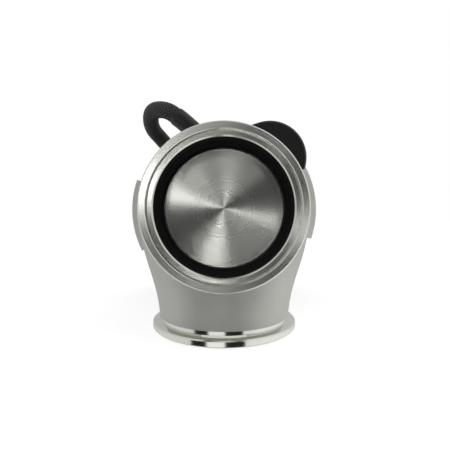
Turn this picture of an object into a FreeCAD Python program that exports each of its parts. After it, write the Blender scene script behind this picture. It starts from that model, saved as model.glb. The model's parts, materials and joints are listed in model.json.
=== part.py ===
import FreeCAD, Part
import math
import os

# Electric external wastegate, 60 mm class: a poppet valve in a stainless body, lifted by
# a motor, a gear pair and a lead screw. Millimetres. The outlet axis is Z, with the outlet
# face at z = 0, and the valve axis runs along Y, with the inlet facing -Y.

V = FreeCAD.Vector

# ---- axes and stations along the valve axis
AXIS_H = 64.5
INLET_Y = -45.0
BODY_REAR_Y = 38.0
PLUG_FACE_Y = -29.0
CHAMFER = 0.6
OVERCUT = 1.0
HALF = 0.5

# ---- V-band flanges
INLET_RIM_STEP = 3.7
INLET_NECK_WALL = 1.8
INLET_RIM_W = 3.3
INLET_NECK_L = 4.0
OUTLET_RIM_R = 40.0
OUTLET_NECK_R = 36.3
OUTLET_RIM_W = 3.5
OUTLET_BORE_R = 32.0
OUTLET_BAND_L = 1.9
OUTLET_REGISTER_L = 6.0
VBAND_SLOPE = math.tan(math.radians(16.0))

# ---- body casting
BARREL_R = 48.5
BARREL_FRONT_Y = -4.0
BARREL_BACK_Y = 12.0
CHAMBER_WALL = 5.0
REAR_NECK_Y = 27.0
REAR_FLANGE_R = 39.5
REAR_WALL_T = 12.0
PAD_R = 51.8
PAD_Y0 = -5.0
PAD_Y1 = 15.0
PAD_SLOPE = 4.0
PAD_SPAN = 45.5
PAD_TILT = 4.0
NECK_SECTIONS = ((11.9, 36.9, 36.3), (21.1, 38.9, 36.2), (30.3, 41.8, 36.0),
                 (39.5, 44.8, 35.5), (48.7, 47.0, 34.5), (58.0, 47.6, 33.0))
DUCT_SECTIONS = ((22.0, 34.5, 28.5), (42.0, 39.0, 21.0))
BOSS_GAP = 1.0
BOSS_FRONT_R = 11.5
BOSS_FLARE = 4.0

# ---- seat ring and valve
LIP_STEP = 1.6
LIP_T = 2.6
SLEEVE_ROOM = 1.0
MOUTH_STEP = 0.9
MOUTH_DEPTH = 8.0
THROAT_GAP = 0.6
THROAT_TAPER = 4.0
SEAT_FLARE = 1.8
CHAMBER_SETBACK = 4.0
SEAT_GAP = 0.1
PLUG_R = 30.0
PLUG_CHAMFER = 1.4
PLUG_EDGE_T = 1.5
PLUG_DISH_R = 14.2
PLUG_DISH_DEPTH = 0.06
PLUG_DISH_STEP = 0.5
PLUG_OVERLAP = 2.0
TULIP_R = 12.0
TULIP_Y = -17.0
TULIP_END_Y = -8.0
STEM_R = 5.0
SPIGOT_R = 4.0
SPIGOT_L = 12.0
LIFT = 16.0

# ---- clearances
RUN_CLEAR = 0.05
FIT_CLEAR = 0.03
BOLT_CLEAR = 0.25
FACE_GAP = 0.1

# ---- guide, seal and standoff
GUIDE_R = 8.0
GUIDE_BACK_Y = 29.0
SEAL_R = 10.0
SEAL_T = 6.0
SEAL_CAP_R = 13.0
SEAL_CAP_T = 3.0
GASKET_T = 1.2
COLLAR_L = 10.8
COLLAR_R = 39.0
COLLAR_BORE_R = 14.0
COLLAR_FACE_T = 3.0
COLLAR_WAIST_R = 28.0
COLLAR_RIB_W = 6.0
COLLAR_POST_R = 5.5

# ---- actuator housing
LOBE_ANGLE = 49.7
GEAR_ROOM = 5.225
LOBE_R = 26.7
HOUSING_L = 58.0
HOUSING_EDGE = 1.5
HOUSING_WALL = 5.5
LOBE_WALL = 4.5
LOBE_PLATE_T = 6.0
HUB_PLATE_T = 10.0
GEAR_POCKET_D = 14.0
SPRING_POCKET_R = 24.2
INNER_WALL = 2.5
POST_R = 5.5
SMALL_POST_R = 3.5
FIN_START = 20.0
FIN_PITCH = 8.0
FIN_GAP = 4.0
FIN_COUNT = 3
FIN_DEPTH = 2.5
COVER_T = 4.0
COVER_BOSS_R = 18.0
COVER_BOSS_T = 3.0
COVER_EDGE = 1.0
COVER_RING_L = 2.0
COVER_RING_T = 3.0

# ---- gears and screw drive
GEAR_MODULE = 1.5
GEAR_TEETH = 56
PINION_TEETH = 13
GEAR_W = 8.0
GEAR_GAP = 0.5
SHAFT_PROUD = 1.0
BACKLASH = 0.25
PRESSURE = math.radians(20.0)
ADDENDUM = 0.85
DEDENDUM = 1.25
GEAR_WEB_T = 4.0
GEAR_RIM_T = 4.0
GEAR_HOLES = 6
GEAR_HOLE_R = 6.5
SCREW_R = 6.0
SCREW_TAIL = 0.5
HUB_R = 9.0
HUB_SHOULDER_R = 10.5
BEARING_R = 13.0
BEARING_T = 5.5
REAR_BEARING_T = 4.0
CARRIER_R = 30.5
CARRIER_TUBE_R = 15.5
CARRIER_LIP = 1.0
CARRIER_SEAT = 2.0
CARRIER_T = 4.0

# ---- stem drive, spring and sensor
TUBE_R = 10.0
TUBE_BORE_R = 7.5
TUBE_FLANGE_R = 14.0
TUBE_FLANGE_T = 2.0
TUBE_L = 34.0
WIPER_T = 3.5
PIN_R = 1.75
PIN_LEN = 27.0
PIN_SETBACK = 4.5
PIN_INSET = 8.0
SPRING_SEAT_R = 21.0
SPRING_SEAT_T = 2.5
SPRING_MEAN_R = 17.5
SPRING_WIRE_R = 0.8
SPRING_HALF_COUNT = 7
MAGNET_R = 3.0
MAGNET_L = 3.0
SENSOR_R = 5.0
SENSOR_T = 1.5
SENSOR_POCKET_R = 7.5
SENSOR_GAP = 2.0
CHIP_W = 12.0
CHIP_T = 1.1
BOARD_T = 1.6
BOARD_R = 42.0
BOARD_BORE_R = 18.0
BOARD_START = 150.0
BOARD_SPAN = 170.0

# ---- motor
CAN_R = 17.9
CAN_WALL = 1.3
CAN_END_T = 1.5
END_CAP_T = 6.0
MOTOR_SHAFT_R = 2.5
MOTOR_BEARING_R = 5.5
MOTOR_BEARING_T = 3.0
BEARING_CUP_T = 1.5
ROTOR_R = 13.2
ROTOR_END_ROOM = 7.0
ROTOR_GAP = 1.0
ROTOR_SLOTS = 8
ROTOR_SLOT_W = 2.2
ROTOR_SLOT_D = 4.0
MAGNET_INNER_R = 13.9
MAGNET_ARC = 130.0
COMMUTATOR_R = 5.5
COMMUTATOR_L = 4.0
CLAMP_R = 21.2
CLAMP_T = 2.0
CLAMP_SCREW_R = 21.0
CLAMP_SCREW_ANGLE = 75.0

# ---- fasteners
BOLT_R = 2.5
BOLT_HEAD_R = 4.25
BOLT_HEAD_L = 5.0
BOLT_CIRCLE_R = 34.0
BOLT_DEPTH = 8.0
BOLT_COUNT = 4
BOLT_START = 45.0
BOLT_SINK = 7.3
SUNK_SCREW_L = 9.0
HEX_SIDES = 6
HEX_LARGE = 2.3
HEX_SMALL = 1.3
SOCKET_DEPTH = 1.6
HEAD_EDGE = 0.4
SINK_HEAD_R = 2.75
SINK_HEAD_L = 1.6
SCREW_THREAD_R = 1.5
SCREW_THREAD_L = 9.0
SCREW_SHORT = 1.0
COVER_HEAD_R = 2.75
COVER_HEAD_L = 3.0
COVER_SCREW_INSET = 4.3
LOBE_SCREW_INSET = 2.6
COVER_SCREW_ANGLES = (75.0, 127.0, 180.0, 233.0, 285.0)
CARRIER_SCREW_R = 27.5
CARRIER_SCREWS = 3

# ---- loom, gland and connector
LOOM_R = 5.5
GLAND_ANGLE = 131.0
GLAND_OFFSET = 10.0
GLAND_SEAT_R = 47.0
GLAND_SPOT_R = 10.5
GLAND_HEX_R = 8.6
GLAND_HEX_L = 5.0
GLAND_THREAD_R = 6.0
GLAND_THREAD_L = 9.0
GLAND_NUT_R = 8.4
GLAND_NUT_L = 9.0
GLAND_NUT_TIP = 2.5
WIRE_HOLE_R = 3.0
PLUG_X0 = -8.0
PLUG_LEN = 28.0
PLUG_W = 15.0
PLUG_Y = 36.0
PLUG_RISE = 49.0
PLUG_SPIGOT_L = 3.0
PLUG_EDGE = 1.5
PLUG_SOCKET_D = 12.0
PLUG_WALL = 1.6
BRACKET_T = 1.5
BRACKET_W = 20.0
BRACKET_LIP = 5.0
BRACKET_FOOT_H = 11.0
BRACKET_SCREW_X = 6.5
BRACKET_SCREW_DROP = 1.0
BOOT_WALL = 0.9
BOOT_EDGE_COUNT = 5
ARC_SHARE = 0.45
LOOM_ROUTE = ((-53.4, 50.3, 60.8), (-50.4, 38.4, 69.9), (-38.6, 30.0, 67.7),
              (-30.0, 30.5, 59.3), (-24.0, 33.0, 53.5), (-16.5, 36.0, 49.0))
LOOM_RISE = 11.0

# ---- radii and stations that follow from the sizes above
THROAT_R = PLUG_R + THROAT_GAP
MOUTH_R = THROAT_R + MOUTH_STEP
SLEEVE_R = PLUG_R + PLUG_OVERLAP + SLEEVE_ROOM
LIP_R = SLEEVE_R + LIP_STEP
INLET_NECK_R = SLEEVE_R + INLET_NECK_WALL
INLET_RIM_R = INLET_NECK_R + INLET_RIM_STEP
GEAR_CENTRES = GEAR_MODULE * (GEAR_TEETH + PINION_TEETH) / 2
BOSS_FRONT_Y = TULIP_END_Y + LIFT + BOSS_GAP
SEAT_Y = PLUG_FACE_Y + PLUG_EDGE_T + THROAT_R - PLUG_R - SEAT_GAP * math.sqrt(2)
SLEEVE_END_Y = SEAT_Y + SEAT_FLARE
CHAMBER_R = BARREL_R - CHAMBER_WALL
CHAMBER_BACK_Y = BODY_REAR_Y - REAR_WALL_T
SEAL_Y = BODY_REAR_Y - SEAL_CAP_T - SEAL_T
COLLAR_Y = BODY_REAR_Y + GASKET_T
HOUSING_Y = COLLAR_Y + COLLAR_L
POCKET_Y = HOUSING_Y + HUB_PLATE_T
POCKET_R = GEAR_MODULE * (GEAR_TEETH / 2 + ADDENDUM) + GEAR_ROOM
HOUSING_R = POCKET_R + HOUSING_WALL
COVER_SCREW_R = HOUSING_R - COVER_SCREW_INSET
LOBE_SCREW_R = LOBE_R - LOBE_SCREW_INSET
LOBE_POCKET_R = LOBE_R - LOBE_WALL
COVER_Y = HOUSING_Y + HOUSING_L
GEAR_FLOOR_Y = COVER_Y - GEAR_POCKET_D
CARRIER_Y = GEAR_FLOOR_Y - CARRIER_SEAT
BEARING_Y = CARRIER_Y - BEARING_T
GEAR_Y = CARRIER_Y + CARRIER_T + GEAR_GAP
REAR_BEARING_Y = COVER_Y - COVER_RING_L
PLUG_Z = AXIS_H + PLUG_RISE
HUB_END_Y = REAR_BEARING_Y + REAR_BEARING_T
SCREW_END_Y = HUB_END_Y + SCREW_TAIL - LIFT
PIN_Y = POCKET_Y + PIN_SETBACK
SCREW_Y = PIN_Y - PIN_INSET
SPRING_SEAT_Y = PIN_Y + PIN_R
SPRING_Y = SPRING_SEAT_Y + SPRING_SEAT_T
CAN_Y = HOUSING_Y + LOBE_PLATE_T
END_CAP_Y = GEAR_FLOOR_Y - END_CAP_T
ROTOR_Y = CAN_Y + ROTOR_END_ROOM
ROTOR_END_Y = END_CAP_Y - ROTOR_END_ROOM
MOTOR_REAR_BEARING_Y = END_CAP_Y + END_CAP_T - MOTOR_BEARING_T
SHAFT_END_Y = GEAR_Y + GEAR_W + SHAFT_PROUD


def polar(radius, angle, y, about=V(0, 0, AXIS_H)):
    """Point at an angle round a Y axis, counted from +X towards +Z."""
    turn = math.radians(angle)
    return V(about.x + radius * math.cos(turn), y, about.z + radius * math.sin(turn))


MOTOR_AXIS = polar(GEAR_CENTRES, LOBE_ANGLE, 0)
VALVE_AXIS = V(0, 0, AXIS_H)
GLAND_Y = HOUSING_Y + GLAND_OFFSET
GLAND_DIR = polar(1, GLAND_ANGLE, 0, V(0, 0, 0))


def closed_face(points, place):
    """Face inside a closed outline of (station, radius) points; a triple is an arc's middle and end."""
    corners = [p if len(p) == 2 else p[2:] for p in points]
    edges = []
    for i, point in enumerate(points):
        start, end = place(*corners[i - 1]), place(*corners[i])
        if len(point) == 2:
            edges.append(Part.makeLine(start, end))
        else:
            edges.append(Part.Arc(start, place(*point[:2]), end).toShape())
    return Part.Face(Part.Wire(edges))


def turned(points, centre=VALVE_AXIS, start=0.0, span=360.0):
    """Solid turned about a Y axis from (y, radius) points."""
    face = closed_face(points, lambda y, r: V(centre.x + r, y, centre.z))
    solid = face.revolve(centre, V(0, -1, 0), span)
    solid.rotate(centre, V(0, -1, 0), start)
    return solid


def turned_z(points):
    """Solid turned about the outlet axis from (z, radius) points."""
    return closed_face(points, lambda z, r: V(r, 0, z)).revolve(V(0, 0, 0), V(0, 0, 1), 360)


def disc(radius, y0, y1, centre=VALVE_AXIS):
    """Round bar along Y."""
    return Part.makeCylinder(radius, y1 - y0, V(centre.x, y0, centre.z), V(0, 1, 0))


def ring(outer, inner, y0, y1, centre=VALVE_AXIS):
    """Plain ring along Y."""
    return turned([(y0, inner), (y0, outer), (y1, outer), (y1, inner)], centre)


def easing(y0, r0, y1, r1):
    """Arc from one point to another that ends parallel to the axis."""
    run, drop = y1 - y0, r0 - r1
    radius = (run * run + drop * drop) / (2 * abs(drop))
    half = math.asin(min(1.0, abs(run) / radius)) / 2
    mid_y = y1 - math.copysign(radius * math.sin(half), run)
    mid_r = r1 + math.copysign(radius * (1 - math.cos(half)), drop)
    return (mid_y, mid_r, y1, r1)


def ogee(y0, r0, y1, r1):
    """Two arcs in an S, parallel to the axis at both ends."""
    mid_y, mid_r = (y0 + y1) / 2, (r0 + r1) / 2
    back = easing(mid_y, mid_r, y0, r0)
    return [(back[0], back[1], mid_y, mid_r), easing(mid_y, mid_r, y1, r1)]


def bolt_angles():
    return [LOBE_ANGLE + BOLT_START + 360 / BOLT_COUNT * i for i in range(BOLT_COUNT)]


# ---- body
def barrel():
    """Inlet flange, neck and chamber, solid, turned about the valve axis."""
    rim_back = INLET_Y + INLET_RIM_W
    neck_y = rim_back + (INLET_RIM_R - INLET_NECK_R) * VBAND_SLOPE
    flare_y = neck_y + INLET_NECK_L
    return turned([(INLET_Y, 0), (INLET_Y, INLET_RIM_R - CHAMFER), (INLET_Y + CHAMFER, INLET_RIM_R),
                   (rim_back, INLET_RIM_R), (neck_y, INLET_NECK_R), (flare_y, INLET_NECK_R)]
                  + ogee(flare_y, INLET_NECK_R, BARREL_FRONT_Y, BARREL_R)
                  + [(BARREL_BACK_Y, BARREL_R)]
                  + ogee(BARREL_BACK_Y, BARREL_R, REAR_NECK_Y, REAR_FLANGE_R)
                  + [(BODY_REAR_Y, REAR_FLANGE_R), (BODY_REAR_Y, 0)])


def outlet_flange():
    cone_top = OUTLET_RIM_W + (OUTLET_RIM_R - OUTLET_NECK_R) * VBAND_SLOPE
    band_top = cone_top + OUTLET_BAND_L
    return band_top, turned_z([(0, 0), (0, OUTLET_RIM_R - CHAMFER), (CHAMFER, OUTLET_RIM_R),
                               (OUTLET_RIM_W - CHAMFER, OUTLET_RIM_R),
                               (OUTLET_RIM_W, OUTLET_RIM_R - CHAMFER), (cone_top, OUTLET_NECK_R),
                               (band_top, OUTLET_NECK_R), (band_top, 0)])


def oval(z, half_x, half_y):
    if half_x == half_y:
        return Part.Wire(Part.makeCircle(half_x, V(0, 0, z)))
    return Part.Wire(Part.Ellipse(V(0, 0, z), half_x, half_y).toShape())


def side_pad(start):
    """Raised arc-shaped pad on the chamber's side."""
    root = CHAMBER_R + OVERCUT
    edge = PAD_R - CHAMFER
    return turned([(PAD_Y0 - PAD_SLOPE, root), (PAD_Y0, edge), (PAD_Y0 + CHAMFER, PAD_R),
                   (PAD_Y1 - CHAMFER, PAD_R), (PAD_Y1, edge), (PAD_Y1 + PAD_SLOPE, root)],
                  start=start, span=PAD_SPAN)


def seat_pocket():
    """What is machined from the inlet face for the seat ring."""
    lip, sleeve = LIP_R + FIT_CLEAR, SLEEVE_R + FIT_CLEAR
    out = INLET_Y - OVERCUT
    return turned([(out, 0), (out, lip + CHAMFER + OVERCUT), (INLET_Y + CHAMFER, lip), (INLET_Y + LIP_T, lip),
                   (INLET_Y + LIP_T, sleeve), (SLEEVE_END_Y + CHAMBER_SETBACK, sleeve),
                   (SLEEVE_END_Y + CHAMBER_SETBACK, 0)])


def chamber():
    front = SLEEVE_END_Y + CHAMBER_SETBACK
    return turned([(front, 0), (front, SLEEVE_R + FIT_CLEAR), (PAD_Y0 - PAD_SLOPE, CHAMBER_R),
                   (BARREL_BACK_Y, CHAMBER_R)]
                  + [(CHAMBER_BACK_Y - CHAMBER_WALL, CHAMBER_R - CHAMBER_WALL),
                     (CHAMBER_BACK_Y, SPRING_POCKET_R + CHAMBER_WALL), (CHAMBER_BACK_Y, 0)])


def guide_boss():
    back = CHAMBER_BACK_Y + OVERCUT
    return turned([(BOSS_FRONT_Y, 0), (BOSS_FRONT_Y, BOSS_FRONT_R), (back, BOSS_FRONT_R + BOSS_FLARE),
                   (back, 0)])


def guide_bores():
    """Stepped bore for the guide, the seal and its cap, from inside to the rear face."""
    guide, seal, cap = GUIDE_R + FIT_CLEAR, SEAL_R + FIT_CLEAR, SEAL_CAP_R + FIT_CLEAR
    cap_y = SEAL_Y + SEAL_T
    front = BOSS_FRONT_Y - OVERCUT
    return turned([(front, 0), (front, guide), (SEAL_Y, guide), (SEAL_Y, seal),
                   (cap_y, seal), (cap_y, cap), (BODY_REAR_Y + OVERCUT, cap), (BODY_REAR_Y + OVERCUT, 0)])


def bolt_holes(y0, y1, radius):
    return [disc(radius, y0, y1, polar(BOLT_CIRCLE_R, a, 0)) for a in bolt_angles()]


def valve_body():
    band_top, outlet = outlet_flange()
    neck = Part.makeLoft([oval(band_top, OUTLET_NECK_R, OUTLET_NECK_R)]
                         + [oval(*s) for s in NECK_SECTIONS], True)
    start = PAD_TILT - PAD_SPAN / 2
    outside = barrel().multiFuse([outlet, neck, side_pad(start), side_pad(start + 180)])
    register = Part.makeCylinder(OUTLET_BORE_R, OUTLET_REGISTER_L)
    duct = Part.makeLoft([oval(OUTLET_REGISTER_L, OUTLET_BORE_R, OUTLET_BORE_R)]
                         + [oval(*s) for s in DUCT_SECTIONS], True)
    hollow = outside.cut([seat_pocket(), chamber(), register, duct])
    holes = bolt_holes(BODY_REAR_Y - BOLT_DEPTH - CHAMFER, BODY_REAR_Y + OVERCUT, BOLT_R + FIT_CLEAR)
    return hollow.fuse(guide_boss()).cut([guide_bores()] + holes)


def seat_ring():
    mouth_end = INLET_Y + MOUTH_DEPTH
    return turned([(INLET_Y, MOUTH_R + CHAMFER), (INLET_Y, LIP_R - CHAMFER), (INLET_Y + CHAMFER, LIP_R),
                   (INLET_Y + LIP_T, LIP_R), (INLET_Y + LIP_T, SLEEVE_R), (SLEEVE_END_Y, SLEEVE_R),
                   (SLEEVE_END_Y, THROAT_R + SEAT_FLARE), (SEAT_Y, THROAT_R),
                   (mouth_end + THROAT_TAPER, THROAT_R), (mouth_end, MOUTH_R), (INLET_Y + CHAMFER, MOUTH_R)])


def valve_guide():
    return ring(GUIDE_R, STEM_R + RUN_CLEAR, BOSS_FRONT_Y, SEAL_Y)


def stem_seal():
    return ring(SEAL_R, STEM_R + RUN_CLEAR, SEAL_Y, SEAL_Y + SEAL_T)


def seal_cap():
    return ring(SEAL_CAP_R, STEM_R + BOLT_CLEAR, SEAL_Y + SEAL_T, BODY_REAR_Y)


# ---- standoff between the hot body and the actuator
def body_gasket():
    plate = ring(COLLAR_R, COLLAR_BORE_R, BODY_REAR_Y, COLLAR_Y)
    return plate.cut(bolt_holes(BODY_REAR_Y - OVERCUT, COLLAR_Y + OVERCUT, BOLT_R + BOLT_CLEAR))


def heat_collar():
    """Two faces joined by a waist, bolt posts and radial ribs, open to the air between them."""
    front, back = COLLAR_Y + COLLAR_FACE_T, HOUSING_Y - COLLAR_FACE_T
    spool = turned([(COLLAR_Y, COLLAR_BORE_R), (COLLAR_Y, COLLAR_R), (front, COLLAR_R),
                    (front, COLLAR_WAIST_R), (back, COLLAR_WAIST_R), (back, COLLAR_R),
                    (HOUSING_Y, COLLAR_R), (HOUSING_Y, COLLAR_BORE_R)])
    posts = [disc(COLLAR_POST_R, COLLAR_Y, HOUSING_Y, polar(BOLT_CIRCLE_R, a, 0)) for a in bolt_angles()]
    posts = [post.common(disc(COLLAR_R, COLLAR_Y, HOUSING_Y)) for post in posts]
    ribs = []
    for angle in bolt_angles():
        rib = Part.makeBox(COLLAR_R - COLLAR_WAIST_R + OVERCUT - CHAMFER, HOUSING_Y - COLLAR_Y, COLLAR_RIB_W,
                           V(COLLAR_WAIST_R - OVERCUT, COLLAR_Y, AXIS_H - COLLAR_RIB_W / 2))
        rib.rotate(VALVE_AXIS, V(0, -1, 0), angle + 180 / BOLT_COUNT)
        ribs.append(rib)
    solid = spool.multiFuse(posts + ribs)
    return solid.cut(bolt_holes(COLLAR_Y - OVERCUT, HOUSING_Y + OVERCUT, BOLT_R + BOLT_CLEAR))


# ---- actuator housing
def lobed(main_r, lobe_r, y0, y1):
    """Plate whose outline wraps a circle on the valve axis and one on the motor axis."""
    lean = math.degrees(math.acos((main_r - lobe_r) / GEAR_CENTRES))
    upper, lower = LOBE_ANGLE + lean, LOBE_ANGLE - lean
    main = [polar(main_r, a, y0) for a in (lower, LOBE_ANGLE + 180, upper)]
    lobe = [polar(lobe_r, a, y0, MOTOR_AXIS) for a in (upper, LOBE_ANGLE, lower)]
    edges = [Part.Arc(*main).toShape(), Part.makeLine(main[2], lobe[0]),
             Part.Arc(*lobe).toShape(), Part.makeLine(lobe[2], main[0])]
    return Part.Face(Part.Wire(edges)).extrude(V(0, y1 - y0, 0))


def outline_edges(solid, y):
    """Edges of a lobed plate's outline at one face."""
    return [e for e in solid.Edges if all(abs(v.Point.y - y) < FACE_GAP for v in e.Vertexes)
            and abs(e.CenterOfMass.y - y) < FACE_GAP]


def fin_grooves():
    grooves = []
    for i in range(FIN_COUNT):
        y = HOUSING_Y + FIN_START + FIN_PITCH * i
        around = lobed(HOUSING_R + OVERCUT, LOBE_R + OVERCUT, y, y + FIN_GAP)
        grooves.append(around.cut(lobed(HOUSING_R - FIN_DEPTH, LOBE_R - FIN_DEPTH, y, y + FIN_GAP)))
    return grooves


def gland_bore(radius, inner, outer):
    """Cylinder on the gland's axis between two distances from the valve axis."""
    return Part.makeCylinder(radius, outer - inner, polar(inner, GLAND_ANGLE, GLAND_Y), GLAND_DIR)


def cover_screw_places():
    main = [polar(COVER_SCREW_R, LOBE_ANGLE + a, 0) for a in COVER_SCREW_ANGLES]
    return main + [polar(LOBE_SCREW_R, LOBE_ANGLE, 0, MOTOR_AXIS)]


def clamp_screw_places():
    inward = LOBE_ANGLE + 180
    return [polar(CLAMP_SCREW_R, inward + s * CLAMP_SCREW_ANGLE, 0, MOTOR_AXIS) for s in (-1, 1)]


def carrier_screw_places():
    step = 360 / CARRIER_SCREWS
    return [polar(CARRIER_SCREW_R, LOBE_ANGLE + step * (i + HALF), 0) for i in range(CARRIER_SCREWS)]


def bracket_screw_places():
    middle = PLUG_X0 + PLUG_LEN / 2
    return [V(middle + s * BRACKET_SCREW_X, 0, PLUG_Z - BRACKET_SCREW_DROP) for s in (-1, 1)]


def screw_holes(places, y0, y1):
    return [disc(SCREW_THREAD_R + FIT_CLEAR, y0, y1, p) for p in places]


def housing_insides():
    """Tubes, posts and bosses that stand up from the housing's front wall."""
    floor = HOUSING_Y + LOBE_PLATE_T - OVERCUT
    spring_r, motor_r = SPRING_POCKET_R + INNER_WALL, CAN_R + FIT_CLEAR + INNER_WALL
    made = [disc(spring_r, floor, CARRIER_Y), disc(motor_r, floor, GEAR_FLOOR_Y, MOTOR_AXIS)]
    made += bolt_holes(floor, GEAR_FLOOR_Y - BOLT_SINK, POST_R)
    made += [disc(SMALL_POST_R, floor, COVER_Y, p) for p in cover_screw_places()]
    made += [disc(SMALL_POST_R, floor, GEAR_FLOOR_Y, p) for p in clamp_screw_places()]
    made += [disc(SMALL_POST_R, floor, CARRIER_Y, p) for p in carrier_screw_places()]
    bracket_end = HOUSING_Y + SCREW_THREAD_L + OVERCUT
    made += [disc(SMALL_POST_R, floor, bracket_end, p) for p in bracket_screw_places()]
    made.append(gland_bore(GLAND_SPOT_R, SPRING_POCKET_R + OVERCUT, HOUSING_R))
    return [solid.common(lobed(HOUSING_R - OVERCUT, LOBE_R - OVERCUT, HOUSING_Y, COVER_Y)) for solid in made]


def gear_housing():
    block = lobed(HOUSING_R, LOBE_R, HOUSING_Y, COVER_Y)
    block = block.makeChamfer(HOUSING_EDGE, outline_edges(block, HOUSING_Y))
    grooves = fin_grooves()
    shell = block.cut(grooves + [lobed(POCKET_R, LOBE_POCKET_R, HOUSING_Y + LOBE_PLATE_T, COVER_Y + OVERCUT)])
    inside = [solid.cut(grooves) for solid in housing_insides()]
    cuts = [disc(SPRING_POCKET_R, POCKET_Y, CARRIER_Y + OVERCUT)]
    cuts.append(disc(TUBE_R + FIT_CLEAR, HOUSING_Y - OVERCUT, POCKET_Y + OVERCUT))
    cuts.append(disc(CAN_R + FIT_CLEAR, CAN_Y, GEAR_FLOOR_Y + OVERCUT, MOTOR_AXIS))
    cuts += bolt_holes(HOUSING_Y - OVERCUT, GEAR_FLOOR_Y, BOLT_R + BOLT_CLEAR)
    cuts.append(gland_bore(GLAND_SPOT_R, GLAND_SEAT_R, HOUSING_R + OVERCUT))
    thread_foot = GLAND_SEAT_R - GLAND_THREAD_L - CHAMFER
    cuts.append(gland_bore(GLAND_THREAD_R + FIT_CLEAR, thread_foot, GLAND_SEAT_R + OVERCUT))
    cuts.append(gland_bore(WIRE_HOLE_R, SPRING_POCKET_R - WIRE_HOLE_R, GLAND_SEAT_R))
    cuts += screw_holes(cover_screw_places(), COVER_Y - SCREW_THREAD_L, COVER_Y + OVERCUT)
    cuts += screw_holes(clamp_screw_places(), GEAR_FLOOR_Y - SCREW_THREAD_L, GEAR_FLOOR_Y + OVERCUT)
    cuts += screw_holes(carrier_screw_places(), CARRIER_Y - SCREW_THREAD_L, CARRIER_Y + OVERCUT)
    cuts += screw_holes(bracket_screw_places(), HOUSING_Y - OVERCUT, HOUSING_Y + SCREW_THREAD_L)
    return shell.multiFuse(inside).cut(cuts)


def gear_cover():
    plate = lobed(HOUSING_R, LOBE_R, COVER_Y, COVER_Y + COVER_T)
    plate = plate.makeChamfer(COVER_EDGE, outline_edges(plate, COVER_Y + COVER_T))
    back = COVER_Y + COVER_T + COVER_BOSS_T
    boss = turned([(COVER_Y, 0), (COVER_Y, COVER_BOSS_R), (back - COVER_EDGE, COVER_BOSS_R),
                   (back, COVER_BOSS_R - COVER_EDGE), (back, 0)])
    inner = disc(BEARING_R + COVER_RING_T, REAR_BEARING_Y, COVER_Y)
    pocket = disc(BEARING_R + FIT_CLEAR, REAR_BEARING_Y - OVERCUT, HUB_END_Y)
    tail = disc(SENSOR_POCKET_R, REAR_BEARING_Y, sensor_y())
    seat = disc(SENSOR_R + FIT_CLEAR, REAR_BEARING_Y, sensor_y() + SENSOR_T)
    holes = [disc(SCREW_THREAD_R + BOLT_CLEAR, COVER_Y - OVERCUT, COVER_Y + COVER_T + OVERCUT, p)
             for p in cover_screw_places()]
    return plate.multiFuse([boss, inner]).cut([pocket, tail, seat] + holes)


def sensor_y():
    """Front of the sensor: clear of the screw's magnet when the valve is fully open."""
    return SCREW_END_Y + LIFT + SENSOR_GAP


# ---- screw drive
def guide_tube():
    """Sleeve that the cross pin slides in, so that the stem can't turn."""
    end = HOUSING_Y + TUBE_L
    tube = turned([(HOUSING_Y, TUBE_BORE_R), (HOUSING_Y, TUBE_R), (POCKET_Y, TUBE_R),
                   (POCKET_Y, TUBE_FLANGE_R), (POCKET_Y + TUBE_FLANGE_T, TUBE_FLANGE_R),
                   (POCKET_Y + TUBE_FLANGE_T, TUBE_R), (end, TUBE_R), (end, TUBE_BORE_R)])
    half = PIN_R + RUN_CLEAR
    y0 = PIN_Y - PIN_R - BOLT_CLEAR
    slot = Part.makeBox(4 * TUBE_R, LIFT + 2 * (PIN_R + BOLT_CLEAR), 2 * half,
                        V(-2 * TUBE_R, y0, AXIS_H - half))
    return tube.cut(slot)


def stem_wiper():
    return ring(TUBE_BORE_R, STEM_R + RUN_CLEAR, HOUSING_Y, HOUSING_Y + WIPER_T)


def valve():
    """Poppet and stem in one piece."""
    face, dish = PLUG_FACE_Y, PLUG_FACE_Y + PLUG_DISH_DEPTH
    edge = face + PLUG_EDGE_T
    rim_r = PLUG_R + PLUG_OVERLAP
    rim_y = edge + PLUG_OVERLAP
    return turned([(dish, 0), (dish, PLUG_DISH_R), (face, PLUG_DISH_R + PLUG_DISH_STEP),
                   (face, PLUG_R - PLUG_CHAMFER), (face + PLUG_CHAMFER, PLUG_R), (edge, PLUG_R),
                   (rim_y, rim_r), (rim_y + PLUG_EDGE_T, rim_r), (TULIP_Y, TULIP_R),
                   easing(TULIP_Y, TULIP_R, TULIP_END_Y, STEM_R), (SCREW_Y, STEM_R),
                   (SCREW_Y, SPIGOT_R), (SCREW_Y + SPIGOT_L, SPIGOT_R),
                   (SCREW_Y + SPIGOT_L, 0)]).cut(cross_hole())


def cross_hole():
    return Part.makeCylinder(PIN_R + FIT_CLEAR, 4 * SCREW_R, V(-2 * SCREW_R, PIN_Y, AXIS_H), V(1, 0, 0))


def lead_screw():
    tail = SCREW_END_Y
    bar = turned([(SCREW_Y, 0), (SCREW_Y, SCREW_R), (tail - CHAMFER, SCREW_R), (tail, SCREW_R - CHAMFER),
                  (tail, 0)])
    bore = disc(SPIGOT_R + FIT_CLEAR, SCREW_Y - OVERCUT, SCREW_Y + SPIGOT_L + CHAMFER)
    magnet = disc(MAGNET_R + FIT_CLEAR, tail - MAGNET_L, tail + OVERCUT)
    return bar.cut([bore, magnet, cross_hole()])


def stop_pin():
    return Part.makeCylinder(PIN_R, PIN_LEN, V(-PIN_LEN / 2, PIN_Y, AXIS_H), V(1, 0, 0))


def position_magnet():
    tail = SCREW_END_Y
    return disc(MAGNET_R, tail - MAGNET_L, tail)


def spring_seat():
    return ring(SPRING_SEAT_R, TUBE_R + BOLT_CLEAR, SPRING_SEAT_Y, SPRING_Y)


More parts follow.
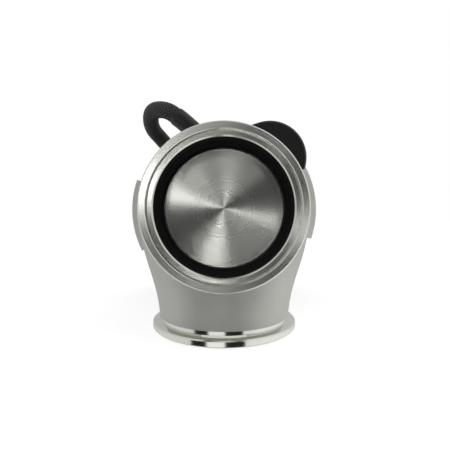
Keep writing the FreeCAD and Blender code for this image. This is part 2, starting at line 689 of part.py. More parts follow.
def half_coil(start, side, rise):
    """Half a turn of spring wire from one side to the other, in a plane tilted by its rise."""
    bend_r = math.hypot(SPRING_MEAN_R, rise / 2)
    across = V(-side * SPRING_MEAN_R, rise / 2, 0)
    wire = Part.Face(Part.Wire(Part.makeCircle(SPRING_WIRE_R, start, V(0, 0, 1))))
    return wire.revolve(start + across, V(0, 0, side).cross(across) * (1 / bend_r), 180)


def return_spring():
    """Coil spring that shuts the valve, between the seat and the carrier."""
    rise = (CARRIER_Y - SPRING_Y - 2 * SPRING_WIRE_R) / SPRING_HALF_COUNT
    halves = []
    for i in range(SPRING_HALF_COUNT):
        side = 1 - 2 * (i % 2)
        start = V(side * SPRING_MEAN_R, SPRING_Y + SPRING_WIRE_R + i * rise, AXIS_H)
        halves.append(half_coil(start, side, rise))
    return halves[0].multiFuse(halves[1:])


def bearing_carrier():
    lip_y = BEARING_Y - CARRIER_LIP
    bore = BEARING_R + FIT_CLEAR
    back = CARRIER_Y + CARRIER_T
    body = turned([(lip_y, HUB_SHOULDER_R), (lip_y, CARRIER_TUBE_R), (CARRIER_Y, CARRIER_TUBE_R),
                   (CARRIER_Y, CARRIER_R), (back, CARRIER_R), (back, bore), (BEARING_Y, bore),
                   (BEARING_Y, HUB_SHOULDER_R)])
    return body.cut([sunk_shape(p, back, BOLT_CLEAR) for p in carrier_screw_places()])


def front_bearing():
    return ring(BEARING_R, HUB_R + RUN_CLEAR, BEARING_Y, CARRIER_Y)


def rear_bearing():
    return ring(BEARING_R, HUB_R + RUN_CLEAR, REAR_BEARING_Y, HUB_END_Y)


def involute(angle):
    return math.tan(angle) - angle


def tooth_half_angle(radius, teeth):
    """Half of a tooth's thickness at a radius, as an angle, less its share of the backlash."""
    pitch_r = GEAR_MODULE * teeth / 2
    base_r = pitch_r * math.cos(PRESSURE)
    at_pitch = math.pi / (2 * teeth) - BACKLASH / (4 * pitch_r) + involute(PRESSURE)
    if radius <= base_r:
        return at_pitch
    return at_pitch - involute(math.acos(base_r / radius))


def toothed(teeth, centre, start):
    """Spur gear blank with straight-sided involute teeth, the first one at the start angle."""
    pitch_r = GEAR_MODULE * teeth / 2
    root_r, tip_r = pitch_r - DEDENDUM * GEAR_MODULE, pitch_r + ADDENDUM * GEAR_MODULE
    radii = (root_r, pitch_r - GEAR_MODULE / 2, pitch_r, tip_r)
    points = []
    for i in range(teeth):
        middle = math.radians(start) + 2 * math.pi * i / teeth
        flank = [(r, tooth_half_angle(r, teeth)) for r in radii]
        for r, half in flank:
            points.append(polar(r, math.degrees(middle - half), GEAR_Y, centre))
        for r, half in reversed(flank):
            points.append(polar(r, math.degrees(middle + half), GEAR_Y, centre))
    return Part.Face(Part.makePolygon(points + points[:1])).extrude(V(0, GEAR_W, 0))


def drive_gear():
    """Moulded gear on the nut's middle."""
    blank = toothed(GEAR_TEETH, VALVE_AXIS, LOBE_ANGLE + 180 / GEAR_TEETH)
    web_r = GEAR_MODULE * GEAR_TEETH / 2 - DEDENDUM * GEAR_MODULE - GEAR_RIM_T
    hub_r = HUB_SHOULDER_R + GEAR_RIM_T
    sink = (GEAR_W - GEAR_WEB_T) / 2
    cuts = [ring(web_r, hub_r, GEAR_Y - OVERCUT, GEAR_Y + sink),
            ring(web_r, hub_r, GEAR_Y + GEAR_W - sink, GEAR_Y + GEAR_W + OVERCUT),
            disc(HUB_SHOULDER_R + FIT_CLEAR, GEAR_Y - OVERCUT, GEAR_Y + GEAR_W + OVERCUT)]
    cuts += [disc(GEAR_HOLE_R, GEAR_Y - OVERCUT, GEAR_Y + GEAR_W + OVERCUT,
                  polar((web_r + hub_r) / 2, 360 / GEAR_HOLES * i, 0)) for i in range(GEAR_HOLES)]
    return blank.cut(cuts)


def drive_nut():
    """Bronze nut that carries the gear: it runs in both bearings and on the lead screw."""
    front, back, bore = CARRIER_Y + FACE_GAP, REAR_BEARING_Y - FACE_GAP, SCREW_R + RUN_CLEAR
    return turned([(BEARING_Y, bore), (BEARING_Y, HUB_R), (front, HUB_R), (front, HUB_SHOULDER_R),
                   (back, HUB_SHOULDER_R), (back, HUB_R), (HUB_END_Y, HUB_R), (HUB_END_Y, bore)])


def motor_pinion():
    blank = toothed(PINION_TEETH, MOTOR_AXIS, LOBE_ANGLE + 180)
    return blank.cut(disc(MOTOR_SHAFT_R + FIT_CLEAR, GEAR_Y - OVERCUT, GEAR_Y + GEAR_W + OVERCUT, MOTOR_AXIS))


# ---- electronics
def circuit_board():
    y0 = COVER_Y - BOARD_T
    return turned([(y0, BOARD_BORE_R), (y0, BOARD_R), (COVER_Y, BOARD_R), (COVER_Y, BOARD_BORE_R)],
                  start=BOARD_START, span=BOARD_SPAN)


def driver_chip():
    middle = polar((BOARD_R + BOARD_BORE_R) / 2, BOARD_START + BOARD_SPAN / 2, 0)
    return Part.makeBox(CHIP_W, CHIP_T, CHIP_W,
                        V(middle.x - CHIP_W / 2, COVER_Y - BOARD_T - CHIP_T, middle.z - CHIP_W / 2))


def position_sensor():
    return disc(SENSOR_R, sensor_y(), sensor_y() + SENSOR_T)


# ---- motor
def motor_can():
    cup = MOTOR_BEARING_R + FIT_CLEAR
    inner = CAN_R - CAN_WALL
    floor = CAN_Y + CAN_END_T
    cup_end = floor + MOTOR_BEARING_T
    return turned([(CAN_Y, 0), (CAN_Y, CAN_R), (END_CAP_Y, CAN_R), (END_CAP_Y, inner), (floor, inner),
                   (floor, cup + BEARING_CUP_T), (cup_end, cup + BEARING_CUP_T), (cup_end, cup),
                   (floor, cup), (floor, 0)], MOTOR_AXIS)


def motor_end_cap():
    seat = MOTOR_REAR_BEARING_Y
    end = END_CAP_Y + END_CAP_T
    return turned([(END_CAP_Y, MOTOR_SHAFT_R + BOLT_CLEAR), (END_CAP_Y, CAN_R), (end, CAN_R),
                   (end, MOTOR_BEARING_R + FIT_CLEAR), (seat, MOTOR_BEARING_R + FIT_CLEAR),
                   (seat, MOTOR_SHAFT_R + BOLT_CLEAR)], MOTOR_AXIS)


def motor_bearing(y0):
    return ring(MOTOR_BEARING_R, MOTOR_SHAFT_R + RUN_CLEAR, y0, y0 + MOTOR_BEARING_T, MOTOR_AXIS)


def motor_magnet(side):
    start = LOBE_ANGLE + side * 90 - MAGNET_ARC / 2
    y0, y1 = ROTOR_Y - ROTOR_GAP, ROTOR_END_Y + ROTOR_GAP
    outer = CAN_R - CAN_WALL - FIT_CLEAR
    return turned([(y0, MAGNET_INNER_R), (y0, outer), (y1, outer), (y1, MAGNET_INNER_R)], MOTOR_AXIS,
                  start, MAGNET_ARC)


def motor_rotor():
    core = ring(ROTOR_R, MOTOR_SHAFT_R + FIT_CLEAR, ROTOR_Y, ROTOR_END_Y, MOTOR_AXIS)
    slots = []
    for i in range(ROTOR_SLOTS):
        slot = Part.makeBox(ROTOR_SLOT_D + OVERCUT, ROTOR_END_Y - ROTOR_Y + 2 * OVERCUT, ROTOR_SLOT_W,
                            MOTOR_AXIS + V(ROTOR_R - ROTOR_SLOT_D, ROTOR_Y - OVERCUT, -ROTOR_SLOT_W / 2))
        slot.rotate(MOTOR_AXIS, V(0, -1, 0), 360 / ROTOR_SLOTS * i)
        slots.append(slot)
    return core.cut(slots)


def motor_commutator():
    y0 = ROTOR_END_Y + ROTOR_GAP
    return ring(COMMUTATOR_R, MOTOR_SHAFT_R + FIT_CLEAR, y0, y0 + COMMUTATOR_L, MOTOR_AXIS)


def motor_shaft():
    return disc(MOTOR_SHAFT_R, CAN_Y + CAN_END_T + FACE_GAP, SHAFT_END_Y, MOTOR_AXIS)


def motor_clamp():
    plate = disc(CLAMP_R + SINK_HEAD_R, GEAR_FLOOR_Y, GEAR_FLOOR_Y + CLAMP_T, MOTOR_AXIS)
    room = lobed(POCKET_R - FACE_GAP, LOBE_POCKET_R - FACE_GAP, GEAR_FLOOR_Y, GEAR_FLOOR_Y + CLAMP_T)
    top = GEAR_FLOOR_Y + CLAMP_T
    below, above = GEAR_FLOOR_Y - OVERCUT, top + OVERCUT
    cuts = [disc(MOTOR_BEARING_R, below, above, MOTOR_AXIS)]
    cuts.append(disc(CARRIER_R + BOLT_CLEAR, below, above))
    cuts.append(disc(SMALL_POST_R + BOLT_CLEAR, below, above, cover_screw_places()[-1]))
    cuts += [sunk_shape(p, top, BOLT_CLEAR) for p in clamp_screw_places()]
    return plate.common(room).cut(cuts)


# ---- fasteners
def sunk_shape(place, top, clear):
    """Countersunk screw or, with a clearance, its hole, with the head's top at a station."""
    shank, head = SCREW_THREAD_R + clear / 2, SINK_HEAD_R + clear / 2
    low = top - SINK_HEAD_L if clear else top - SUNK_SCREW_L
    points = [(low, 0), (low, shank), (top - SINK_HEAD_L, shank), (top, head), (top, 0)]
    if clear:
        points = [(top - SUNK_SCREW_L, 0), (top - SUNK_SCREW_L, shank), (top - SINK_HEAD_L, shank),
                  (top, head), (top + OVERCUT, head), (top + OVERCUT, 0)]
    return turned(points, V(place.x, 0, place.z))


def sunk_screw(place, top):
    return sunk_shape(place, top, 0).cut(hex_socket(place, top, HEX_SMALL, 1))


def hex_socket(place, face, size, side):
    """Hexagonal recess in a screw's head, which faces +Y for side 1 and -Y for side -1."""
    y0 = face - side * SOCKET_DEPTH
    corners = [polar(size, 360 / HEX_SIDES * i, y0, V(place.x, 0, place.z)) for i in range(HEX_SIDES)]
    hexagon = Part.Face(Part.makePolygon(corners + corners[:1]))
    return hexagon.extrude(V(0, side * (SOCKET_DEPTH + OVERCUT), 0))


def cap_screw(place, seat, shank_r, shank_l, head_r, head_l, side, size):
    """Socket screw whose head stands on a seat: shank towards -Y for side 1, towards +Y for side -1."""
    foot, top = seat - side * shank_l, seat + side * head_l
    solid = turned([(foot, 0), (foot, shank_r), (seat, shank_r), (seat, head_r),
                    (top - side * HEAD_EDGE, head_r), (top, head_r - HEAD_EDGE), (top, 0)],
                   V(place.x, 0, place.z))
    return solid.cut(hex_socket(place, top, size, side))


def long_bolt(angle):
    seat = GEAR_FLOOR_Y - BOLT_SINK
    return cap_screw(polar(BOLT_CIRCLE_R, angle, 0), seat, BOLT_R, seat - BODY_REAR_Y + BOLT_DEPTH,
                     BOLT_HEAD_R, BOLT_HEAD_L, 1, HEX_LARGE)


def cover_screw(place):
    return cap_screw(place, COVER_Y + COVER_T, SCREW_THREAD_R, COVER_T + SCREW_THREAD_L - SCREW_SHORT,
                     COVER_HEAD_R, COVER_HEAD_L, 1, HEX_SMALL)


def bracket_screw(place):
    return cap_screw(place, HOUSING_Y - BRACKET_T, SCREW_THREAD_R, BRACKET_T + SCREW_THREAD_L - SCREW_SHORT,
                     COVER_HEAD_R, COVER_HEAD_L, -1, HEX_SMALL)


# ---- loom
def along_gland(points):
    """Solid turned about the gland's axis from (distance from the valve axis, radius) points."""
    side = V(0, 1, 0)
    face = closed_face(points, lambda d, r: polar(d, GLAND_ANGLE, GLAND_Y) + side * r)
    return face.revolve(polar(0, GLAND_ANGLE, GLAND_Y), GLAND_DIR, 360)


def gland_body():
    """Threaded end in the housing and a hexagon on the spot face."""
    base, top = GLAND_SEAT_R, GLAND_SEAT_R + GLAND_HEX_L
    side = V(0, 1, 0)
    lift = GLAND_DIR.cross(side)
    centre = polar(base, GLAND_ANGLE, GLAND_Y)
    corners = []
    for i in range(HEX_SIDES):
        turn = 2 * math.pi * (i + HALF) / HEX_SIDES
        corners.append(centre + (side * math.cos(turn) + lift * math.sin(turn)) * GLAND_HEX_R)
    hexagon = Part.Face(Part.makePolygon(corners + corners[:1])).extrude(GLAND_DIR * GLAND_HEX_L)
    thread = gland_bore(GLAND_THREAD_R, base - GLAND_THREAD_L, base)
    return hexagon.fuse(thread).cut(gland_bore(WIRE_HOLE_R, base - GLAND_THREAD_L - OVERCUT, top + OVERCUT))


def gland_nut():
    base = GLAND_SEAT_R + GLAND_HEX_L
    top = base + GLAND_NUT_L
    return along_gland([(base, WIRE_HOLE_R), (base, GLAND_NUT_R), (top - GLAND_NUT_TIP, GLAND_NUT_R),
                        (top, LOOM_R + CHAMFER), (top, WIRE_HOLE_R)])


def loom_points():
    """The loom's route: out of the gland, over and down into the connector."""
    tip = GLAND_SEAT_R + GLAND_HEX_L + GLAND_NUT_L
    exit_point = polar(tip, GLAND_ANGLE, GLAND_Y)
    return ([exit_point, exit_point + GLAND_DIR * LOOM_RISE] + [VALVE_AXIS + V(*p) for p in LOOM_ROUTE]
            + [V(PLUG_X0, PLUG_Y, PLUG_Z)])


def rounded(points):
    """Straight runs joined by tangent arcs, as a list of edges, with the arcs' radii."""
    edges, radii = [], []
    start = points[0]
    for before, corner, after in zip(points, points[1:], points[2:]):
        back, ahead = before - corner, after - corner
        shorter = min(back.Length, ahead.Length)
        half_turn = (math.pi - back.getAngle(ahead)) / 2
        cut = ARC_SHARE * shorter
        radii.append(cut / math.tan(half_turn))
        back.normalize()
        ahead.normalize()
        arc_in, arc_out = corner + back * cut, corner + ahead * cut
        inward = (back + ahead).normalize()
        middle = corner + inward * (radii[-1] / math.cos(half_turn) - radii[-1])
        edges.append(Part.LineSegment(start, arc_in).toShape())
        edges.append(Part.Arc(arc_in, middle, arc_out).toShape())
        start = arc_out
    edges.append(Part.LineSegment(start, points[-1]).toShape())
    return edges, radii


def tube_along(edges, radius):
    path = Part.Wire(edges)
    start = edges[0].firstVertex().Point
    heading = edges[0].tangentAt(edges[0].FirstParameter)
    section = Part.Wire(Part.makeCircle(radius, start, heading))
    return path.makePipeShell([section], True, True), path.Length


def loom():
    edges, radii = rounded(loom_points())
    tube, length = tube_along(edges, LOOM_R)
    share = tube.Volume / (math.pi * LOOM_R ** 2 * length)
    print("loom length %.1f, arc radii %s, volume over section x length %.4f"
          % (length, [round(r, 1) for r in radii], share))
    return tube


def loom_boot():
    """Heat-shrink sleeve over the loom's end, up to the connector."""
    edges, _ = rounded(loom_points())
    last = edges[-BOOT_EDGE_COUNT:]
    outer, _ = tube_along(last, LOOM_R + BOOT_WALL)
    inner, _ = tube_along(last, LOOM_R + FIT_CLEAR)
    return outer.cut(inner)


def loom_connector():
    """Sealed plug body with a round cable spigot, lying along X in its bracket."""
    shell = Part.makeBox(PLUG_LEN - PLUG_SPIGOT_L, PLUG_W, PLUG_W,
                         V(PLUG_X0 + PLUG_SPIGOT_L, PLUG_Y - PLUG_W / 2, PLUG_Z - PLUG_W / 2))
    long_edges = [e for e in shell.Edges if abs(e.Length - (PLUG_LEN - PLUG_SPIGOT_L)) < FACE_GAP]
    shell = shell.makeFillet(PLUG_EDGE, long_edges)
    end = PLUG_X0 + PLUG_LEN
    inner_w = PLUG_W - 2 * PLUG_WALL
    socket = Part.makeBox(PLUG_SOCKET_D + OVERCUT, inner_w, inner_w,
                          V(end - PLUG_SOCKET_D, PLUG_Y - inner_w / 2, PLUG_Z - inner_w / 2))
    spigot = Part.makeCylinder(LOOM_R + BOOT_WALL, PLUG_SPIGOT_L, V(PLUG_X0, PLUG_Y, PLUG_Z), V(1, 0, 0))
    return shell.cut(socket).fuse(spigot)


def connector_bracket():
    """Bent sheet bracket: foot screwed to the housing's front, shelf and upturned lip."""
    left = PLUG_X0 + PLUG_LEN / 2 - BRACKET_W / 2
    shelf_top = PLUG_Z - PLUG_W / 2
    lip_y = PLUG_Y - PLUG_W / 2 - BRACKET_T
    foot_y = HOUSING_Y - BRACKET_T
    shelf = Part.makeBox(BRACKET_W, HOUSING_Y - lip_y, BRACKET_T, V(left, lip_y, shelf_top - BRACKET_T))
    foot = Part.makeBox(BRACKET_W, BRACKET_T, BRACKET_FOOT_H, V(left, foot_y, shelf_top))
    lip = Part.makeBox(BRACKET_W, BRACKET_T, BRACKET_LIP, V(left, lip_y, shelf_top))
    holes = [disc(SCREW_THREAD_R + BOLT_CLEAR, foot_y - OVERCUT, HOUSING_Y + OVERCUT, p)
             for p in bracket_screw_places()]
    return shelf.multiFuse([foot, lip]).cut(holes)


# ---- the part
def nodes():
    made = {
        "valve_body": valve_body(), "seat_ring": seat_ring(), "valve_guide": valve_guide(),
        "stem_seal": stem_seal(), "seal_cap": seal_cap(), "body_gasket": body_gasket(),
        "heat_collar": heat_collar(), "gear_housing": gear_housing(), "gear_cover": gear_cover(),
        "guide_tube": guide_tube(), "stem_wiper": stem_wiper(), "valve": valve(),
        "lead_screw": lead_screw(), "stop_pin": stop_pin(), "position_magnet": position_magnet(),
        "spring_seat": spring_seat(), "return_spring": return_spring(),
        "bearing_carrier": bearing_carrier(), "front_bearing": front_bearing(),
        "rear_bearing": rear_bearing(), "drive_gear": drive_gear(), "drive_nut": drive_nut(),
        "motor_pinion": motor_pinion(),
        "circuit_board": circuit_board(), "driver_chip": driver_chip(),
        "position_sensor": position_sensor(), "motor_can": motor_can(),
        "motor_end_cap": motor_end_cap(), "motor_rotor": motor_rotor(),
        "motor_commutator": motor_commutator(), "motor_shaft": motor_shaft(),
        "motor_clamp": motor_clamp(), "gland_body": gland_body(), "gland_nut": gland_nut(),
        "loom": loom(), "loom_boot": loom_boot(), "loom_connector": loom_connector(),
        "connector_bracket": connector_bracket(),
        "motor_front_bearing": motor_bearing(CAN_Y + CAN_END_T),
        "motor_rear_bearing": motor_bearing(MOTOR_REAR_BEARING_Y),
    }
    for i, side in enumerate((1, -1), 1):
        made["motor_magnet_%d" % i] = motor_magnet(side)
    for i, angle in enumerate(bolt_angles(), 1):
        made["long_bolt_%d" % i] = long_bolt(angle)
    for i, place in enumerate(cover_screw_places(), 1):
        made["cover_screw_%d" % i] = cover_screw(place)
    for i, place in enumerate(clamp_screw_places(), 1):
        made["clamp_screw_%d" % i] = sunk_screw(place, GEAR_FLOOR_Y + CLAMP_T)
    for i, place in enumerate(carrier_screw_places(), 1):
        made["carrier_screw_%d" % i] = sunk_screw(place, CARRIER_Y + CARRIER_T)
    for i, place in enumerate(bracket_screw_places(), 1):
        made["bracket_screw_%d" % i] = bracket_screw(place)
    return made


os.makedirs("parts", exist_ok=True)
for name, shape in nodes().items():
    shape.exportStep("parts/%s.step" % name)
    print("%-20s %8.1f mm3, %d solid, valid %s" % (name, shape.Volume, len(shape.Solids), shape.isValid()))
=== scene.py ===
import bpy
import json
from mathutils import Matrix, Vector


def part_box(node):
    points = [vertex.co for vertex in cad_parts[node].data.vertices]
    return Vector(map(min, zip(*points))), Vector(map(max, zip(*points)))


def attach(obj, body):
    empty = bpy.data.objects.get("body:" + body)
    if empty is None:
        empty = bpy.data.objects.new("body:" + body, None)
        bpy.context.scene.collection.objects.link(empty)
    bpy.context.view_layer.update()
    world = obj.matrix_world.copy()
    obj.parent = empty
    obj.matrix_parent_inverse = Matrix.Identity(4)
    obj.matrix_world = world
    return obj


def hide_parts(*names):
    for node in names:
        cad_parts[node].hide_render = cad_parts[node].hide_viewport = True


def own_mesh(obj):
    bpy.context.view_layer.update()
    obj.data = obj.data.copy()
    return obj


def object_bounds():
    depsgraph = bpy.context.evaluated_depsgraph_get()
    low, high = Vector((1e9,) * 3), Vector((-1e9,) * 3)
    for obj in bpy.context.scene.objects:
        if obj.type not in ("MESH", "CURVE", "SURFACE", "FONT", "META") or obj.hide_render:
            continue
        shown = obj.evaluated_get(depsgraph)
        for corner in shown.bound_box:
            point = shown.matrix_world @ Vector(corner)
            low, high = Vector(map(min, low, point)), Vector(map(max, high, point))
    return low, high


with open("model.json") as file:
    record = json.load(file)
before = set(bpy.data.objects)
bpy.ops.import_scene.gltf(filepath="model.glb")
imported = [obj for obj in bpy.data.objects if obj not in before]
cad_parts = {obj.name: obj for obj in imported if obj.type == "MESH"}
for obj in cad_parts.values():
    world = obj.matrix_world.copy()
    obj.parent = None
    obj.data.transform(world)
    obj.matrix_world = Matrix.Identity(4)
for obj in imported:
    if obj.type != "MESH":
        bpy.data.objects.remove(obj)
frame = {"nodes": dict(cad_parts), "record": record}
cad_box = [list(corner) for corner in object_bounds()]

import bpy
import json
import math
from mathutils import Vector

# Electric external wastegate. Metres, in the part's own frame: X across, Y from the inlet back to the gear
# case, Z up.

MM = 0.001
LOW = Vector(cad_box[0])
PLUG_LOW, PLUG_HIGH = (Vector(corner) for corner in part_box("valve"))
AXIS_H = ((PLUG_LOW + PLUG_HIGH) / 2).z
FACE_Y = PLUG_LOW.y
FACE_CENTRE = Vector((0.0, FACE_Y, AXIS_H))


# ---- nodes
def new_material(name):
    """A material with a Principled shader: the material, its tree and the shader."""
    material = bpy.data.materials.new(name)
    material.use_nodes = True
    tree = material.node_tree
    return material, tree, tree.nodes["Principled BSDF"]


def node(tree, kind, **values):
    """A new node with the given settings."""
    made = tree.nodes.new(kind)
    for key, value in values.items():
        setattr(made, key, value)
    return made


def feed(tree, socket, value):
    """Give a socket a number, a colour or another node's output."""
    if isinstance(value, (int, float)):
        socket.default_value = value
    elif isinstance(value, tuple):
        socket.default_value = (*value, 1.0)
    else:
        tree.links.new(value, socket)


def math_node(tree, operation, *values):
    """One step of arithmetic on numbers and node outputs."""
    made = node(tree, "ShaderNodeMath", operation=operation)
    for socket, value in zip(made.inputs, values):
        feed(tree, socket, value)
    return made.outputs[0]


def mix_colors(tree, factor, a, b):
    """The colour a where the factor is 0, and b where it is 1."""
    made = node(tree, "ShaderNodeMix", data_type="RGBA")
    feed(tree, made.inputs[0], factor)
    feed(tree, made.inputs[6], a)
    feed(tree, made.inputs[7], b)
    return made.outputs[2]


def mix_shaders(tree, factor, a, b):
    """The shader a where the factor is 0, and b where it is 1."""
    made = node(tree, "ShaderNodeMixShader")
    for socket, value in zip(made.inputs, (factor, a, b)):
        tree.links.new(value, socket)
    return made.outputs[0]


def ramp(tree, value, stops):
    """Grey level over (place, level) stops."""
    made = node(tree, "ShaderNodeValToRGB")
    elements = made.color_ramp.elements
    while len(elements) < len(stops):
        elements.new(0.5)
    for element, (place, level) in zip(elements, stops):
        element.position = place
        element.color = (level, level, level, 1.0)
    tree.links.new(value, made.inputs[0])
    return made.outputs[0]


def position(tree):
    """The point in the part's frame, whole and split into X, Y and Z."""
    coords = node(tree, "ShaderNodeTexCoord")
    split = node(tree, "ShaderNodeSeparateXYZ")
    tree.links.new(coords.outputs["Object"], split.inputs[0])
    return coords.outputs["Object"], split.outputs[0], split.outputs[1], split.outputs[2]


def noise(tree, vector, scale, detail):
    """Noise in three dimensions, with scale as features to the metre."""
    made = node(tree, "ShaderNodeTexNoise")
    made.inputs["Scale"].default_value = scale
    made.inputs["Detail"].default_value = detail
    tree.links.new(vector, made.inputs["Vector"])
    return made.outputs["Fac"]


def rings(tree, distance, per_mm):
    """Uneven turning marks: noise along one distance alone."""
    made = node(tree, "ShaderNodeTexNoise", noise_dimensions="1D")
    made.inputs["Scale"].default_value = per_mm / MM
    made.inputs["Detail"].default_value = 4.0
    tree.links.new(distance, made.inputs["W"])
    return made.outputs["Fac"]


def bump(tree, shader, height, distance):
    """Relief of the given depth in the shader's normal."""
    made = node(tree, "ShaderNodeBump")
    made.inputs["Distance"].default_value = distance
    made.inputs["Strength"].default_value = 1.0
    tree.links.new(height, made.inputs["Height"])
    tree.links.new(made.outputs[0], shader.inputs["Normal"])


def valve_axis_radius(tree, x, z):
    """Distance from the valve axis, and the direction round it."""
    up = math_node(tree, "SUBTRACT", z, AXIS_H)
    across_squared = math_node(tree, "MULTIPLY", x, x)
    up_squared = math_node(tree, "MULTIPLY", up, up)
    radius = math_node(tree, "SQRT", math_node(tree, "ADD", across_squared, up_squared))
    around = node(tree, "ShaderNodeCombineXYZ")
    tree.links.new(up, around.inputs[0])
    tree.links.new(math_node(tree, "MULTIPLY", x, -1.0), around.inputs[2])
    return radius, around.outputs[0]


# ---- turned steel
FANS_ACROSS_MARKS = 0.25     # quarter turn of the highlight, so that it fans out from the centre
MARKS_TO_A_BAND = 12
BAND_SHADE = 0.88            # colour of a band's dark side, as a share of the bright one
BAND_ROUGH_LEAST = 0.85      # roughness over the bands, as shares of the mean
BAND_ROUGH_RANGE = 0.3
MARKS_PER_MM = 1.6
FACE_TINT = (0.64, 0.65, 0.60)
SEAT_TINT = (0.62, 0.625, 0.58)
FACE_FLAT_DEPTH = 0.5 * MM
SEAT_FRONT_DEPTH = 0.7 * MM
BORE_R = 31.7 * MM
# Painted shade: the seat ring's bore is coloured near black, not metallic, rougher and with little shine,
# to stand for the shade inside it.
BORE_PAINTED_SHADE = (0.006, 0.006, 0.006)
BORE_SHADE_ROUGH = 0.5             # added to the steel's roughness
BORE_SHADE_SPECULAR = 0.1


def turned_steel(name, tint, rough, aniso, depth):
    """Stainless steel faced on a lathe, with turning marks round the valve axis."""
    material, tree, shader = new_material(name)
    _, x, _, z = position(tree)
    radius, around = valve_axis_radius(tree, x, z)
    cut = rings(tree, radius, MARKS_PER_MM)
    bands = rings(tree, radius, MARKS_PER_MM / MARKS_TO_A_BAND)
    shader.inputs["Metallic"].default_value = 1.0
    shader.inputs["Anisotropic"].default_value = aniso
    shader.inputs["Anisotropic Rotation"].default_value = FANS_ACROSS_MARKS
    tree.links.new(around, shader.inputs["Tangent"])
    shaded = tuple(BAND_SHADE * c for c in tint)
    tree.links.new(mix_colors(tree, bands, shaded, tint), shader.inputs["Base Color"])
    varied = math_node(tree, "MULTIPLY", bands, rough * BAND_ROUGH_RANGE)
    tree.links.new(math_node(tree, "ADD", varied, rough * BAND_ROUGH_LEAST), shader.inputs["Roughness"])
    bump(tree, shader, cut, depth)
    return material


def valve_face():
    """Faced steel whose flat front is shaded as one plane, apart from its turning marks."""
    material = turned_steel("valve_face", FACE_TINT, rough=0.27, aniso=0.96, depth=0.0001 * MM)
    tree = material.node_tree
    _, _, y, _ = position(tree)
    front = math_node(tree, "LESS_THAN", y, FACE_Y + FACE_FLAT_DEPTH)
    geometry = node(tree, "ShaderNodeNewGeometry")
    flat = node(tree, "ShaderNodeMix", data_type="VECTOR")
    tree.links.new(front, flat.inputs[0])
    tree.links.new(geometry.outputs["Normal"], flat.inputs[4])
    flat.inputs[5].default_value = (0.0, -1.0, 0.0)
    marks = tree.nodes["Principled BSDF"].inputs["Normal"].links[0].from_node
    tree.links.new(flat.outputs[1], marks.inputs["Normal"])
    return material


def seat_steel():
    """Seat ring: a bright lathe-faced front, and a bore painted near black as painted shade inside it."""
    material = turned_steel("seat_steel", SEAT_TINT, rough=0.23, aniso=0.6, depth=0.0006 * MM)
    tree = material.node_tree
    shader = tree.nodes["Principled BSDF"]
    _, x, y, z = position(tree)
    radius, _ = valve_axis_radius(tree, x, z)
    in_bore = math_node(tree, "LESS_THAN", radius, BORE_R)
    behind_front = math_node(tree, "GREATER_THAN", y, LOW.y + SEAT_FRONT_DEPTH)
    # Painted shade: the bore behind its front edge is painted near black.
    painted_shade = math_node(tree, "MULTIPLY", in_bore, behind_front)
    shader.inputs["Specular IOR Level"].default_value = BORE_SHADE_SPECULAR
    steel = shader.inputs["Base Color"].links[0].from_socket
    tree.links.new(mix_colors(tree, painted_shade, steel, BORE_PAINTED_SHADE), shader.inputs["Base Color"])
    tree.links.new(math_node(tree, "SUBTRACT", 1.0, painted_shade), shader.inputs["Metallic"])
    rough = shader.inputs["Roughness"].links[0].from_socket
    added = math_node(tree, "MULTIPLY", painted_shade, BORE_SHADE_ROUGH)
    tree.links.new(math_node(tree, "ADD", rough, added), shader.inputs["Roughness"])
    return material


# ---- cast steel
INLET_FLANGE_DEPTH = 4.7 * MM
OUTLET_FLANGE_HEIGHT = 6.45 * MM
BLASTED_DARK = (0.48, 0.485, 0.45)
BLASTED_PALE = (0.57, 0.575, 0.54)
MACHINED = (0.64, 0.645, 0.60)
BLASTED_ROUGH = 0.58
INLET_SMOOTHER = -0.35       # taken off the blasted roughness on each flange
OUTLET_SMOOTHER = -0.46
OUTLET_MARKS_PER_MM = 4.0
LATHE_RELIEF = 0.02          # depth of the turning marks, as a share of the blasted grain's
GRAIN_DEPTH = 0.12 * MM
PATCHES_PER_M = 60.0
GRAIN_PER_M = 2200.0
CHATTER_PER_M = 2600.0


def cast_steel():
    """Bead-blasted casting, machined bright on the two flanges and their necks."""
    material, tree, shader = new_material("cast_steel")
    point, x, y, z = position(tree)
    radius, _ = valve_axis_radius(tree, x, z)
    inlet = math_node(tree, "LESS_THAN", y, LOW.y + INLET_FLANGE_DEPTH)
    outlet = math_node(tree, "LESS_THAN", z, OUTLET_FLANGE_HEIGHT)
    machined = math_node(tree, "MAXIMUM", inlet, outlet)
    patches = noise(tree, point, PATCHES_PER_M, 4.0)
    blasted = mix_colors(tree, patches, BLASTED_DARK, BLASTED_PALE)
    tree.links.new(mix_colors(tree, machined, blasted, MACHINED), shader.inputs["Base Color"])
    shader.inputs["Metallic"].default_value = 1.0
    smoother = math_node(tree, "ADD", math_node(tree, "MULTIPLY", inlet, INLET_SMOOTHER),
                         math_node(tree, "MULTIPLY", outlet, OUTLET_SMOOTHER))
    tree.links.new(math_node(tree, "ADD", BLASTED_ROUGH, smoother), shader.inputs["Roughness"])
    height = cast_relief(tree, point, radius, z, inlet, outlet, machined)
    bump(tree, shader, height, GRAIN_DEPTH)
    return material


def cast_relief(tree, point, radius, z, inlet, outlet, machined):
    """Blasted grain on the casting, and shallow turning marks on the two flanges."""
    grain = noise(tree, point, GRAIN_PER_M, 2.0)
    chatter = noise(tree, point, CHATTER_PER_M, 2.0)
    round_inlet = mix_colors(tree, 0.5, rings(tree, radius, MARKS_PER_MM), chatter)
    round_outlet = rings(tree, z, OUTLET_MARKS_PER_MM)
    lathe = math_node(tree, "ADD", math_node(tree, "MULTIPLY", round_inlet, inlet),
                      math_node(tree, "MULTIPLY", round_outlet, outlet))
    rough_part = math_node(tree, "MULTIPLY", math_node(tree, "SUBTRACT", 1.0, machined), grain)
    return math_node(tree, "ADD", math_node(tree, "MULTIPLY", lathe, LATHE_RELIEF), rough_part)


